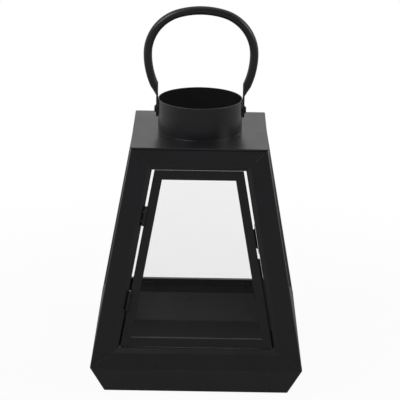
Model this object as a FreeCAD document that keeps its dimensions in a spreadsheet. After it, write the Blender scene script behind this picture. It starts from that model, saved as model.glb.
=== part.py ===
import FreeCAD, Part
import math
import os
import Sketcher

# Candle lantern: a sheet-metal pyramid on a flared tray, glazed on all four sides, with a hinged door in
# front, an open chimney collar on the roof and a bent bar handle that turns on the collar.
# Millimetres, +Z up, the origin in the middle of the base, the door towards -Y.

# Driving sizes
SIZES = {
    # Tray and body
    "base_half": 94.4,
    "widest_half": 108.1,
    "widest_height": 30.4,
    "shoulder_half": 68.5,
    "body_height": 252.5,
    "sheet": 1.0,
    "bend_radius": 0.5,
    "tray_floor": 1.5,
    # Posts and rails: flat faces, bevelled lip, return wall and roof flange
    "stile_face": 20.0,
    "top_face": 16.5,
    "bottom_face": 15.8,
    "lip_width": 5.0,
    "lip_depth": 3.0,
    "jamb_depth": 8.0,
    "roof_flange": 10.0,
    # Roof and chimney collar
    "plate_thickness": 1.5,
    "plate_overhang": 0.8,
    "plate_corner": 1.5,
    "plate_edge": 0.6,
    "collar_radius": 43.45,
    "collar_wall": 1.0,
    "collar_height": 33.6,
    "collar_rim": 0.4,
    "pivot_drop": 11.8,
    # Handle, all heights above its pivot
    "bar_radius": 4.4,
    "handle_half": 54.35,
    "handle_wide_rise": 58.2,
    "handle_arch": 45.3,
    "handle_top_radius": 82.0,
    "handle_lower_radius": 80.7,
    "handle_end_rise": 25.7,
    "tab_top_rise": 14.5,
    "tab_thickness": 1.8,
    "tab_width": 12.0,
    "tab_tail": 2.3,
    "tab_gap": 0.15,
    # Rivets and washers of the handle
    "rivet_radius": 2.0,
    "rivet_head_radius": 3.4,
    "rivet_head_height": 1.4,
    "rivet_crown": 1.1,
    "rivet_tail_radius": 3.2,
    "rivet_tail_height": 1.2,
    "washer_radius": 4.2,
    "washer_thickness": 0.5,
    # Fixed panes and their clips
    "glass_thickness": 2.0,
    "glass_lap": 6.0,
    "clip_sheet": 0.8,
    "clip_width": 10.0,
    "clip_reach": 4.0,
    "clip_gap": 0.3,
    "clip_spread_top": 28.0,
    "clip_spread_bottom": 55.0,
    # Door
    "door_gap_top": 0.25,
    "door_gap_bottom": 1.7,
    "door_side_gap_top": 2.4,
    "door_side_gap_bottom": 1.5,
    "door_face": 9.5,
    "door_recess": 2.5,
    "door_depth": 4.2,
    "door_sheet": 0.8,
    "door_glass_gap": 0.3,
    "door_edge": 0.6,
    # Hinges
    "hinge_length": 20.0,
    "hinge_middle": 10.0,
    "hinge_leaf": 0.6,
    "hinge_axis_gap": 1.3,
    "hinge_axis_depth": 1.0,
    "hinge_upper_drop": 68.0,
    "hinge_lower_drop": 155.0,
    "barrel_radius": 1.4,
    "pin_radius": 0.8,
    "knuckle_gap": 0.25,
    "arm_thickness": 1.2,
    "leaf_margin": 0.5,
    # Spring catch
    "catch_drop": 90.2,
    "catch_flat": 13.0,
    "catch_ramp": 4.5,
    "catch_tail": 4.0,
    "catch_sheet": 0.5,
    "catch_width": 4.0,
    "catch_clearance": 0.35,
    # Stop behind the door, from below the catch to above the door's foot
    "stop_catch_gap": 4.8,
    "stop_foot_gap": 18.0,
    "stop_sheet": 0.8,
    "stop_lap": 3.0,
    "stop_gap": 0.2,
    # Clearances: a fixed fit, a running pivot, faces that lie together
    "fit_gap": 0.02,
    "pivot_gap": 0.05,
    "seat_gap": 0.12,
}

# Sizes worked out from the driving ones
WORKED = {
    # Body: height of the sloped faces, their run inwards, slope, and sine and cosine of the lean
    "slope_height": "Sizes.body_height - Sizes.widest_height",
    "slope_run": "Sizes.widest_half - Sizes.shoulder_half",
    "slope": "slope_run / slope_height",
    "lean_cos": "1 / sqrt(1 + slope * slope)",
    "lean_sin": "slope * lean_cos",
    "tray_flare": "(Sizes.widest_half - Sizes.base_half) / Sizes.widest_height",
    # Folds of the sheet: outside radius, and where the inside of the lip's bends lies
    "fold_radius": "Sizes.bend_radius + Sizes.sheet",
    "lip_slant": "sqrt(Sizes.lip_width * Sizes.lip_width + Sizes.lip_depth * Sizes.lip_depth)",
    "fold_depth": "Sizes.lip_depth + Sizes.sheet * (lip_slant - Sizes.lip_depth) / Sizes.lip_width",
    "fold_back": "Sizes.sheet * (lip_slant - Sizes.lip_width) / Sizes.lip_depth",
    "jamb_inset": "Sizes.stile_face + Sizes.lip_width",
    "cut_reach": "2 * Sizes.widest_half",
    # Roof
    "plate_half": "Sizes.shoulder_half + Sizes.plate_overhang",
    "roof_height": "Sizes.body_height + Sizes.plate_thickness",
    "collar_bore": "Sizes.collar_radius - Sizes.collar_wall",
    "pivot_height": "roof_height + Sizes.collar_height - Sizes.pivot_drop",
    # Handle: shoulder arcs that join the top arc to the widest points, and where the round bar ends
    "shoulder_radius": "(Sizes.handle_half * Sizes.handle_half + Sizes.handle_arch * Sizes.handle_arch"
                       " - 2 * Sizes.handle_arch * Sizes.handle_top_radius)"
                       " / (2 * (Sizes.handle_half - Sizes.handle_top_radius))",
    "top_centre_rise": "Sizes.handle_wide_rise + Sizes.handle_arch - Sizes.handle_top_radius",
    "end_drop": "Sizes.handle_wide_rise - Sizes.handle_end_rise",
    "end_reach": "Sizes.handle_half - Sizes.handle_lower_radius"
                 " + sqrt(Sizes.handle_lower_radius * Sizes.handle_lower_radius - end_drop * end_drop)",
    # Stack on the rivet, outwards from the collar
    "tab_seat": "Sizes.collar_radius + Sizes.tab_gap",
    "washer_seat": "tab_seat + Sizes.tab_thickness + Sizes.pivot_gap",
    "head_seat": "washer_seat + Sizes.washer_thickness + Sizes.pivot_gap",
    "tail_seat": "sqrt(collar_bore * collar_bore - Sizes.rivet_tail_radius * Sizes.rivet_tail_radius)"
                 " - Sizes.fit_gap",
    # Sloped face: distances down the slope from the roof, depths square to the face
    "face_length": "slope_height / lean_cos",
    "lip_top_drop": "(Sizes.top_face + Sizes.lip_width) / lean_cos",
    "lip_bottom_drop": "face_length - (Sizes.bottom_face + Sizes.lip_width) / lean_cos",
    "glass_seat": "Sizes.jamb_depth * lean_cos",
    "sheet_seat": "Sizes.sheet * lean_cos",
    "lip_seat": "Sizes.lip_depth * lean_cos",
    "lip_rise": "Sizes.lip_depth * lean_sin",
    "pane_top_drop": "lip_top_drop - Sizes.glass_lap",
    "pane_bottom_drop": "lip_bottom_drop + Sizes.glass_lap",
    "pane_top_half": "Sizes.shoulder_half + pane_top_drop * lean_sin - jamb_inset + Sizes.glass_lap",
    "pane_bottom_half": "Sizes.shoulder_half + pane_bottom_drop * lean_sin - jamb_inset + Sizes.glass_lap",
    "clip_foot": "glass_seat + Sizes.glass_thickness + Sizes.pivot_gap",
    # Door outline, and its edge's run per length
    "door_top_drop": "lip_top_drop - lip_rise + Sizes.door_gap_top",
    "door_bottom_drop": "lip_bottom_drop - Sizes.door_gap_bottom",
    "door_top_half": "Sizes.shoulder_half + door_top_drop * lean_sin - jamb_inset - Sizes.door_side_gap_top",
    "door_bottom_half": "Sizes.shoulder_half + door_bottom_drop * lean_sin - jamb_inset"
                        " - Sizes.door_side_gap_bottom",
    "door_run": "(door_bottom_half - door_top_half) / (door_bottom_drop - door_top_drop)",
    "gap_run": "(Sizes.door_side_gap_bottom - Sizes.door_side_gap_top) / (door_bottom_drop - door_top_drop)",
    "door_slot": "Sizes.door_depth - 2 * Sizes.door_sheet",
    "door_middle": "Sizes.door_recess + Sizes.door_depth / 2",
    # Hinges and catch: lean of the jamb in the face, and the gap square to it at each one
    "jamb_lean": "atan(lean_sin)",
    "jamb_cos": "1 / sqrt(1 + lean_sin * lean_sin)",
    "gap_start": "Sizes.door_side_gap_top - gap_run * door_top_drop",
    "reach_upper": "(gap_start + gap_run * Sizes.hinge_upper_drop) * jamb_cos"
                   " - Sizes.hinge_axis_gap - Sizes.seat_gap",
    "reach_lower": "(gap_start + gap_run * Sizes.hinge_lower_drop) * jamb_cos"
                   " - Sizes.hinge_axis_gap - Sizes.seat_gap",
    "catch_reach": "(gap_start + gap_run * Sizes.catch_drop) * jamb_cos - Sizes.catch_clearance",
    "catch_half": "Sizes.catch_flat / 2 + Sizes.catch_ramp + Sizes.catch_tail",
    "stop_top_drop": "Sizes.catch_drop + catch_half + Sizes.stop_catch_gap",
    "stop_length": "door_bottom_drop - Sizes.stop_foot_gap - stop_top_drop",
    "stop_drop": "stop_top_drop + stop_length / 2",
    "stop_reach": "(gap_start + gap_run * stop_top_drop) * jamb_cos + Sizes.stop_lap",
    "stop_seat": "Sizes.door_recess + Sizes.door_depth + Sizes.stop_gap",
    "hinge_end": "(Sizes.hinge_length - Sizes.hinge_middle) / 2",
    "leaf_start": "lip_seat - Sizes.hinge_axis_depth",
    "jamb_leaf_end": "glass_seat - Sizes.leaf_margin - Sizes.hinge_axis_depth",
    "door_leaf_start": "Sizes.door_recess - Sizes.hinge_axis_depth + Sizes.pivot_gap * 4",
    "door_leaf_end": "Sizes.door_recess + Sizes.door_depth - Sizes.leaf_margin - Sizes.hinge_axis_depth",
    "catch_front": "lip_seat + Sizes.leaf_margin",
}

# How far an edge's end may lie off a line that it is looked for on
LINE_TOLERANCE = 0.001

SIDES = ("front", "right", "back", "left")
CORNERS = ("front_left", "front_right", "back_right", "back_left")

doc = FreeCAD.newDocument("candle_lantern")
sub_parts = []


def add_sheet(name, cells, mark):
    """Add a spreadsheet with one aliased cell for each size."""
    sheet = doc.addObject("Spreadsheet::Sheet", name)
    for row, (alias, content) in enumerate(cells.items(), start=1):
        sheet.set("A%d" % row, alias)
        sheet.set("B%d" % row, mark + str(content))
        sheet.setAlias("B%d" % row, alias)
    doc.recompute()
    return sheet


add_sheet("Sizes", SIZES, "")
worked_sheet = add_sheet("Worked", WORKED, "=")


def worked(alias):
    """Value of a worked-out size as a plain number."""
    value = worked_sheet.get(alias)
    return float(getattr(value, "Value", value))


def keep(item, placement=None):
    """Put a finished sub-part in its place and list it for writing."""
    if placement is not None:
        item.Placement = placement
    sub_parts.append(item)
    return item


# Places

def turn(axis, angle):
    """Placement that only turns about an axis."""
    return FreeCAD.Placement(FreeCAD.Vector(0, 0, 0), FreeCAD.Rotation(axis, angle))


def shift(x, y, z):
    """Placement that only moves."""
    return FreeCAD.Placement(FreeCAD.Vector(x, y, z), FreeCAD.Rotation())


X_AXIS = FreeCAD.Vector(1, 0, 0)
Y_AXIS = FreeCAD.Vector(0, 1, 0)
Z_AXIS = FreeCAD.Vector(0, 0, 1)


def side_place(index):
    """Turn from the front to another side, counted towards the right."""
    return turn(Z_AXIS, 90.0 * index)


def face_place(index):
    """Frame of a sloped face: x across it, y up it, z out of it, origin at its top edge."""
    lean = math.degrees(math.atan(worked("slope")))
    top_edge = shift(0, -SIZES["shoulder_half"], SIZES["body_height"])
    return side_place(index) * top_edge * turn(X_AXIS, 90.0 - lean)


def jamb_place(drop, side):
    """Frame on a jamb of the front opening: z up the jamb, x towards the door, origin on the face."""
    jamb_half = SIZES["shoulder_half"] + drop * worked("lean_sin") - worked("jamb_inset")
    lean = side * worked("jamb_lean")
    flip = turn(X_AXIS, -90.0) if side < 0 else turn(Z_AXIS, 180.0) * turn(X_AXIS, 90.0)
    return face_place(0) * shift(side * jamb_half, -drop, 0) * turn(Z_AXIS, lean) * flip


# Sketches and features

def add_body(label):
    """Start a sub-part as a body with its own label."""
    body = doc.addObject("PartDesign::Body", label)
    body.Label = label
    return body


def origin_of(body, role):
    """One of a body's own origin planes or axes."""
    return next(item for item in body.Origin.OriginFeatures if item.Role == role)


def add_sketch(body, plane, height=None):
    """Sketch on one of the body's own planes, raised to a height where one is given."""
    sketch = body.newObject("Sketcher::SketchObject", body.Name + "_sketch")
    sketch.AttachmentSupport = [(origin_of(body, plane), "")]
    sketch.MapMode = "FlatFace"
    if height is not None:
        sketch.setExpression("AttachmentOffset.Base.z", height)
    return sketch


def bind(sketch, constraint, expression):
    """Add a constraint and tie it to the sheets."""
    number = sketch.addConstraint(constraint)
    sketch.setExpression("Constraints[%d]" % number, expression)


def bind_point(sketch, geometry, position, x, y):
    """Tie a point's two coordinates to the sheets."""
    for kind, expression in (("DistanceX", x), ("DistanceY", y)):
        value = float(sketch.evalExpression(expression))
        bind(sketch, Sketcher.Constraint(kind, -1, 1, geometry, position, value), expression)


def draw_polygon(sketch, points):
    """Closed polygon whose corners are pairs of expressions; gives the corners' places."""
    corners = [FreeCAD.Vector(*(float(sketch.evalExpression(part)) for part in point)) for point in points]
    first = sketch.GeometryCount
    count = len(points)
    for number in range(count):
        sketch.addGeometry(Part.LineSegment(corners[number], corners[(number + 1) % count]))
    for number in range(count):
        following = first + (number + 1) % count
        sketch.addConstraint(Sketcher.Constraint("Coincident", first + number, 2, following, 1))
    for number, (x, y) in enumerate(points):
        bind_point(sketch, first + number, 1, x, y)
    doc.recompute()
    return [sketch.Placement.multVec(corner) for corner in corners]


def draw_circle(sketch, radius, x="0", y="0"):
    """Circle with its centre and radius tied to the sheets."""
    size = float(sketch.evalExpression(radius))
    centre = FreeCAD.Vector(float(sketch.evalExpression(x)), float(sketch.evalExpression(y)))
    number = sketch.addGeometry(Part.Circle(centre, Z_AXIS, size))
    bind(sketch, Sketcher.Constraint("Radius", number, size), radius)
    bind_point(sketch, number, 3, x, y)


def draw_square(sketch, half):
    """Square about the middle."""
    low = "-(%s)" % half
    draw_polygon(sketch, [(low, low), (half, low), (half, half), (low, half)])


def add_pad(body, sketch, length, symmetric=False):
    """Pad a sketch by a length tied to the sheets."""
    pad = body.newObject("PartDesign::Pad", body.Name + "_pad")
    pad.Profile = sketch
    pad.SideType = "Symmetric" if symmetric else "One side"
    pad.setExpression("Length", length)
    return pad


def add_through_pocket(body, sketch):
    """Cut a sketch right through the body, both ways, and check that it cut."""
    doc.recompute()
    before = body.Shape.Volume
    pocket = body.newObject("PartDesign::Pocket", body.Name + "_pocket")
    pocket.Profile = sketch
    pocket.SideType = "Symmetric"
    pocket.Type = "ThroughAll"
    doc.recompute()
    if body.Shape.Volume >= before:
        raise RuntimeError(pocket.Label + " cuts nothing")
    return pocket


def round_edges(body, radius, wanted):
    """Round those edges of the body so far that a test picks."""
    doc.recompute()
    solid = body.Tip
    edges = ["Edge%d" % number for number, edge in enumerate(solid.Shape.Edges, start=1) if wanted(edge)]
    if not edges:
        raise RuntimeError(body.Label + " has no edge to round")
    rounding = body.newObject("PartDesign::Fillet", body.Name + "_rounding")
    rounding.Base = (solid, edges)
    rounding.setExpression("Radius", radius)
    return rounding


def on_lines(points, direction):
    """Test for edges that lie on lines through the points, all in one direction."""
    along = FreeCAD.Vector(direction).normalize()

    def wanted(edge):
        ends = [vertex.Point for vertex in edge.Vertexes]
        offsets = [max((end - point).cross(along).Length for end in ends) for point in points]
        return min(offsets) < LINE_TOLERANCE
    return wanted


def fold_sheet(body, corners, bends, direction):
    """Round the folds of a bent sheet, the outside by one sheet more than the inside."""
    for bend, radius in (("outer", "Worked.fold_radius"), ("inner", "Sizes.bend_radius")):
        points = [corner for corner, kind in zip(corners, bends) if kind == bend]
        round_edges(body, radius, on_lines(points, direction))


def mirrored(points):
    """The same outline on the other side of the middle."""
    return [("-(%s)" % x, y) for x, y in points]


# Tray

def make_base_tray():
    """Flat floor and four flared walls, one sheet."""
    body = add_body("base_tray")
    outer = [add_sketch(body, "XY_Plane"), add_sketch(body, "XY_Plane", "Sizes.widest_height")]
    draw_square(outer[0], "Sizes.base_half")
    draw_square(outer[1], "Sizes.widest_half")
    inner = [add_sketch(body, "XY_Plane", height) for height in ("Sizes.tray_floor", "Sizes.widest_height")]
    draw_square(inner[0], "Sizes.base_half + Sizes.tray_floor * Worked.tray_flare - Sizes.sheet")
    draw_square(inner[1], "Sizes.widest_half - Sizes.sheet")
    for kind, sections in (("AdditiveLoft", outer), ("SubtractiveLoft", inner)):
        loft = body.newObject("PartDesign::" + kind, "tray_" + kind)
        loft.Profile = sections[0]
        loft.Sections = sections[1:]
        loft.Ruled = True
    round_edges(body, "Worked.fold_radius", lambda edge: edge.BoundBox.ZMin < LINE_TOLERANCE)
    keep(body)


# Posts and rails

LIP = (
    ("0", "0", "outer"),
    ("Sizes.lip_width", "Sizes.lip_depth", "outer"),
    ("Sizes.lip_width", "Sizes.jamb_depth", ""),
    ("Sizes.lip_width - Sizes.sheet", "Sizes.jamb_depth", ""),
    ("Sizes.lip_width - Sizes.sheet", "Worked.fold_depth", "inner"),
    ("-Worked.fold_back", "Sizes.sheet", "inner"),
)


def lip_after(face):
    """Outline of lip and return wall past a flat face, as (distance along the face, depth, kind of bend)."""
    return [("%s + %s" % (face, along), depth, bend) for along, depth, bend in LIP]


def half_at(drop):
    """Half the width of a sloped face at a drop below the roof."""
    return "Sizes.shoulder_half + (%s) * Worked.slope" % drop


def mitre_line(face):
    """Line between post and rail, from the outer corner, as (inset from the edge, distance from the end)."""
    return [("0", "0"), ("Sizes.stile_face", face), ("Worked.jamb_inset", face + " + Sizes.lip_width")]


def mitre_top():
    """The upper mitre in front view, right-hand side, as (x, z)."""
    return [("%s - (%s)" % (half_at(drop), inset), "Sizes.body_height - (%s)" % drop)
            for inset, drop in mitre_line("Sizes.top_face")]


def mitre_bottom():
    """The lower mitre in front view, right-hand side, as (x, z)."""
    across = "Sizes.widest_half - (%s) * Worked.slope - (%s)"
    return [(across % (rise, inset), "Sizes.widest_height + %s" % rise)
            for inset, rise in mitre_line("Sizes.bottom_face")]


def make_corner_post(index):
    """Folded angle with a lip along both edges, leaning with the corner, mitred at both ends."""
    body = add_body("corner_post_" + CORNERS[index])
    leg = lip_after("Sizes.stile_face")
    other_leg = [(depth, along, bend) for along, depth, bend in reversed(leg)]
    outline = [("0", "0", "outer")] + leg + [("Sizes.sheet", "Sizes.sheet", "inner")] + other_leg
    section = add_sketch(body, "XY_Plane", "Sizes.widest_height")
    from_corner = "%s - Sizes.widest_half"
    corners = draw_polygon(section, [(from_corner % x, from_corner % y) for x, y, bend in outline])
    upwards = FreeCAD.Vector(worked("slope_run"), worked("slope_run"), worked("slope_height"))
    post = add_pad(body, section, "Worked.slope_height")
    post.UseCustomVector = True
    post.AlongSketchNormal = True
    post.Direction = upwards
    fold_sheet(body, corners, [bend for x, y, bend in outline], upwards)
    for plane in ("XZ_Plane", "YZ_Plane"):
        ends = add_sketch(body, plane)
        for mitre, beyond in ((mitre_top(), "2 * Sizes.body_height"), (mitre_bottom(), "-Sizes.body_height")):
            waste = mitre + [("0", mitre[-1][1]), ("0", beyond), (mitre[0][0], beyond)]
            draw_polygon(ends, mirrored(waste))
        add_through_pocket(body, ends)
    keep(body, side_place(index))


def cut_rail_ends(body, mitre, beyond):
    """Cut a rail's two ends along the mitres and along the corner diagonals."""
    reach = "Worked.cut_reach"
    ends = add_sketch(body, "XZ_Plane")
    right = mitre + [(mitre[-1][0], beyond), (reach, beyond), (reach, mitre[0][1])]
    draw_polygon(ends, right)
    draw_polygon(ends, mirrored(right))
    add_through_pocket(body, ends)
    diagonals = add_sketch(body, "XY_Plane")
    corner = [("0", "0"), (reach, "-" + reach), (reach, "0")]
    draw_polygon(diagonals, corner)
    draw_polygon(diagonals, mirrored(corner))
    add_through_pocket(body, diagonals)


def make_top_rail(index):
    """Upper rail: flat face, lip and return wall below, flange under the roof."""
    body = add_body("top_rail_" + SIDES[index])
    outline = [("0", "0", "outer")] + lip_after("Sizes.top_face") + [("Sizes.sheet", "Sizes.sheet", "inner")]
    outline += [("Sizes.sheet", "Sizes.roof_flange", ""), ("0", "Sizes.roof_flange", "")]
    section = add_sketch(body, "YZ_Plane")
    inwards = "(%s) - (%s)"
    corners = draw_polygon(section, [(inwards % (depth, half_at(drop)), "Sizes.body_height - (%s)" % drop)
                                     for drop, depth, bend in outline])
    add_pad(body, section, "Worked.cut_reach", symmetric=True)
    fold_sheet(body, corners, [bend for drop, depth, bend in outline], X_AXIS)
    cut_rail_ends(body, mitre_top(), "0")
    keep(body, side_place(index))


def make_bottom_rail(index):
    """Lower rail: flat face that stands on the tray, lip and return wall above."""
    body = add_body("bottom_rail_" + SIDES[index])
    outline = [("0", "0", "")] + lip_after("Sizes.bottom_face") + [("0", "Sizes.sheet", "")]
    section = add_sketch(body, "YZ_Plane")
    across = "(%s) * Worked.slope - Sizes.widest_half + %s"
    corners = draw_polygon(section, [(across % (rise, depth), "Sizes.widest_height + (%s)" % rise)
                                     for rise, depth, bend in outline])
    add_pad(body, section, "Worked.cut_reach", symmetric=True)
    fold_sheet(body, corners, [bend for rise, depth, bend in outline], X_AXIS)
    cut_rail_ends(body, mitre_bottom(), "Sizes.body_height")
    keep(body, side_place(index))


# Roof and chimney collar

def make_top_plate():
    """Square roof sheet with the chimney hole."""
    body = add_body("top_plate")
    outline = add_sketch(body, "XY_Plane", "Sizes.body_height")
    draw_square(outline, "Worked.plate_half")
    draw_circle(outline, "Worked.collar_bore")
    add_pad(body, outline, "Sizes.plate_thickness")
    upright = SIZES["plate_thickness"] - LINE_TOLERANCE
    round_edges(body, "Sizes.plate_corner", lambda edge: edge.BoundBox.ZLength > upright
                and edge.BoundBox.XMax ** 2 > SIZES["shoulder_half"] ** 2)
    top = worked("roof_height") - LINE_TOLERANCE
    round_edges(body, "Sizes.plate_edge", lambda edge: edge.BoundBox.ZMin > top
                and max(abs(edge.BoundBox.XMax), abs(edge.BoundBox.YMax)) > SIZES["shoulder_half"])
    keep(body)


def make_collar():
    """Open round chimney that stands on the roof, drilled for the handle's rivets."""
    body = add_body("collar")
    ring = add_sketch(body, "XY_Plane", "Worked.roof_height")
    draw_circle(ring, "Sizes.collar_radius")
    draw_circle(ring, "Worked.collar_bore")
    add_pad(body, ring, "Sizes.collar_height")
    rim = worked("roof_height") + SIZES["collar_height"] - LINE_TOLERANCE
    round_edges(body, "Sizes.collar_rim", lambda edge: edge.BoundBox.ZMin > rim)
    holes = add_sketch(body, "YZ_Plane")
    draw_circle(holes, "Sizes.rivet_radius + Sizes.fit_gap", "0", "Worked.pivot_height")
    add_through_pocket(body, holes)
    keep(body)


# Handle and its pivots

def draw_handle_path(sketch):
    """Five tangent arcs: lower left, left shoulder, top, right shoulder, lower right."""
    half = SIZES["handle_half"]
    wide = SIZES["handle_wide_rise"]
    top_radius = SIZES["handle_top_radius"]
    lower_radius = SIZES["handle_lower_radius"]
    shoulder = worked("shoulder_radius")
    top_rise = worked("top_centre_rise")
    join = math.atan2(wide - top_rise, half - shoulder)
    end = math.asin(worked("end_drop") / lower_radius)
    arcs = (
        (lower_radius - half, wide, lower_radius, math.pi, math.pi + end),
        (shoulder - half, wide, shoulder, math.pi - join, math.pi),
        (0.0, top_rise, top_radius, join, math.pi - join),
        (half - shoulder, wide, shoulder, 0.0, join),
        (half - lower_radius, wide, lower_radius, -end, 0.0),
    )
    for x, z, radius, start, stop in arcs:
        circle = Part.Circle(FreeCAD.Vector(x, z, 0), Z_AXIS, radius)
        sketch.addGeometry(Part.ArcOfCircle(circle, start, stop))
    for number in range(len(arcs) - 1):
        sketch.addConstraint(Sketcher.Constraint("Tangent", number, 1, number + 1, 2))
    radii = ("Sizes.handle_lower_radius", "Worked.shoulder_radius", "Sizes.handle_top_radius",
             "Worked.shoulder_radius", "Sizes.handle_lower_radius")
    rises = ("Sizes.handle_wide_rise", "Sizes.handle_wide_rise", "Worked.top_centre_rise",
             "Sizes.handle_wide_rise", "Sizes.handle_wide_rise")
    for number, (radius, rise) in enumerate(zip(radii, rises)):
        bind(sketch, Sketcher.Constraint("Radius", number, arcs[number][2]), radius)
        bind(sketch, Sketcher.Constraint("DistanceY", -1, 1, number, 3, arcs[number][1]), rise)
    sketch.addConstraint(Sketcher.Constraint("PointOnObject", 2, 3, -2))
    for number, point in ((0, 2), (4, 1)):
        rise = Sketcher.Constraint("DistanceY", -1, 1, number, point, SIZES["handle_end_rise"])
        bind(sketch, rise, "Sizes.handle_end_rise")


def draw_flattened_bar(sketch):
    """Ellipse as thick and as wide as the tab."""
    long_end = FreeCAD.Vector(0, SIZES["tab_width"] / 2)
    short_end = FreeCAD.Vector(SIZES["tab_thickness"] / 2, 0)
    number = sketch.addGeometry(Part.Ellipse(long_end, short_end, FreeCAD.Vector(0, 0)))
    sketch.exposeInternalGeometry(number)
    sketch.addConstraint(Sketcher.Constraint("Coincident", number, 3, -1, 1))
    sketch.addConstraint(Sketcher.Constraint("Vertical", number + 1))
    for axis, size in ((number + 1, "tab_width"), (number + 2, "tab_thickness")):
        bind(sketch, Sketcher.Constraint("Distance", axis, 1, axis, 2, SIZES[size]), "Sizes." + size)


def draw_tab(sketch):
    """Flat tab with a round foot and the rivet hole."""
    half = SIZES["tab_width"] / 2
    top = SIZES["tab_top_rise"]
    foot = -SIZES["tab_tail"]
    sketch.addGeometry(Part.LineSegment(FreeCAD.Vector(half, foot), FreeCAD.Vector(half, top)))
    sketch.addGeometry(Part.LineSegment(FreeCAD.Vector(half, top), FreeCAD.Vector(-half, top)))
    sketch.addGeometry(Part.LineSegment(FreeCAD.Vector(-half, top), FreeCAD.Vector(-half, foot)))
    round_foot = Part.Circle(FreeCAD.Vector(0, foot), Z_AXIS, half)
    sketch.addGeometry(Part.ArcOfCircle(round_foot, math.pi, 2 * math.pi))
    for number in (0, 1):
        sketch.addConstraint(Sketcher.Constraint("Coincident", number, 2, number + 1, 1))
    sketch.addConstraint(Sketcher.Constraint("Tangent", 2, 2, 3, 1))
    sketch.addConstraint(Sketcher.Constraint("Tangent", 3, 2, 0, 1))
    bind_point(sketch, 0, 2, "Sizes.tab_width / 2", "Sizes.tab_top_rise")
    bind_point(sketch, 1, 2, "-Sizes.tab_width / 2", "Sizes.tab_top_rise")
    bind_point(sketch, 3, 3, "0", "-Sizes.tab_tail")
    draw_circle(sketch, "Sizes.rivet_radius + Sizes.pivot_gap")


def make_handle():
    """Bent round bar whose ends are flattened to drilled tabs."""
    body = add_body("handle")
    path = add_sketch(body, "XZ_Plane")
    draw_handle_path(path)
    end_lean = math.degrees(math.asin(worked("end_drop") / SIZES["handle_lower_radius"]))
    ends = {}
    for side in (-1, 1):
        end = add_sketch(body, "XY_Plane")
        draw_circle(end, "Sizes.bar_radius")
        place = shift(side * worked("end_reach"), 0, SIZES["handle_end_rise"])
        end.AttachmentOffset = place * turn(Y_AXIS, side * end_lean)
        ends[side] = end
    doc.recompute()
    bar = body.newObject("PartDesign::AdditivePipe", "handle_bar")
    bar.Profile = ends[-1]
    bar.Spine = (path, ["Edge%d" % (number + 1) for number in range(5)])
    doc.recompute()
    for side in (-1, 1):
        flat = add_sketch(body, "XY_Plane", "Sizes.tab_top_rise")
        draw_flattened_bar(flat)
        middle = "%d * (Worked.tab_seat + Sizes.tab_thickness / 2)" % side
        flat.setExpression("AttachmentOffset.Base.x", middle)
        neck = body.newObject("PartDesign::AdditiveLoft", "handle_neck")
        neck.Profile = ends[side]
        neck.Sections = [flat]
        tab_face = "Worked.tab_seat" if side > 0 else "-(Worked.tab_seat + Sizes.tab_thickness)"
        tab = add_sketch(body, "YZ_Plane", tab_face)
        draw_tab(tab)
        add_pad(body, tab, "Sizes.tab_thickness")
    keep(body, shift(0, 0, worked("pivot_height")))


def make_handle_rivet(side, label):
    """Domed rivet through washer, tab and collar, closed inside the collar."""
    body = add_body("handle_rivet_" + label)
    outline = add_sketch(body, "XZ_Plane")
    head_top = "Worked.head_seat + Sizes.rivet_head_height"
    draw_polygon(outline, [
        ("Worked.tail_seat - Sizes.rivet_tail_height", "0"),
        (head_top, "0"),
        (head_top, "Sizes.rivet_head_radius"),
        ("Worked.head_seat", "Sizes.rivet_head_radius"),
        ("Worked.head_seat", "Sizes.rivet_radius"),
        ("Worked.tail_seat", "Sizes.rivet_radius"),
        ("Worked.tail_seat", "Sizes.rivet_tail_radius"),
        ("Worked.tail_seat - Sizes.rivet_tail_height", "Sizes.rivet_tail_radius"),
    ])
    rivet = body.newObject("PartDesign::Revolution", body.Name + "_turned")
    rivet.Profile = outline
    rivet.ReferenceAxis = (origin_of(body, "X_Axis"), [""])
    rivet.Angle = 360
    doc.recompute()
    head_end = worked("head_seat") + SIZES["rivet_head_height"]
    rims = [number for number, edge in enumerate(rivet.Shape.Edges, start=1)
            if edge.BoundBox.XMin > head_end - SIZES["fit_gap"]]
    crown = body.newObject("PartDesign::Fillet", body.Name + "_crown")
    crown.Base = (rivet, ["Edge%d" % number for number in rims])
    crown.setExpression("Radius", "Sizes.rivet_crown")
    keep(body, shift(0, 0, worked("pivot_height")) * turn(Z_AXIS, 0.0 if side > 0 else 180.0))


def make_handle_washer(side, label):
    """Washer between the tab and the rivet's head."""
    body = add_body("handle_washer_" + label)
    ring = add_sketch(body, "YZ_Plane", "Worked.washer_seat")
    draw_circle(ring, "Sizes.washer_radius")
    draw_circle(ring, "Sizes.rivet_radius + Sizes.fit_gap")
    add_pad(body, ring, "Sizes.washer_thickness")
    keep(body, shift(0, 0, worked("pivot_height")) * turn(Z_AXIS, 0.0 if side > 0 else 180.0))


# Fixed panes

def make_glass(index):
    """Pane that lies on the return walls' inner edges."""
    body = add_body("glass_" + SIDES[index])
    outline = add_sketch(body, "XY_Plane", "-(Worked.glass_seat + Sizes.glass_thickness)")
    draw_polygon(outline, [
        ("-Worked.pane_bottom_half", "-Worked.pane_bottom_drop"),
        ("Worked.pane_bottom_half", "-Worked.pane_bottom_drop"),
        ("Worked.pane_top_half", "-Worked.pane_top_drop"),
        ("-Worked.pane_top_half", "-Worked.pane_top_drop"),
    ])
    add_pad(body, outline, "Sizes.glass_thickness")
    keep(body, face_place(index))


def add_box(name, x, y, z):
    """Box between pairs of expressions along each axis."""
    box = doc.addObject("Part::Box", name)
    for size, axis, (low, high) in zip(("Length", "Width", "Height"), "xyz", (x, y, z)):
        box.setExpression(size, "(%s) - (%s)" % (high, low))
        box.setExpression("Placement.Base." + axis, low)
    return box


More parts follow.
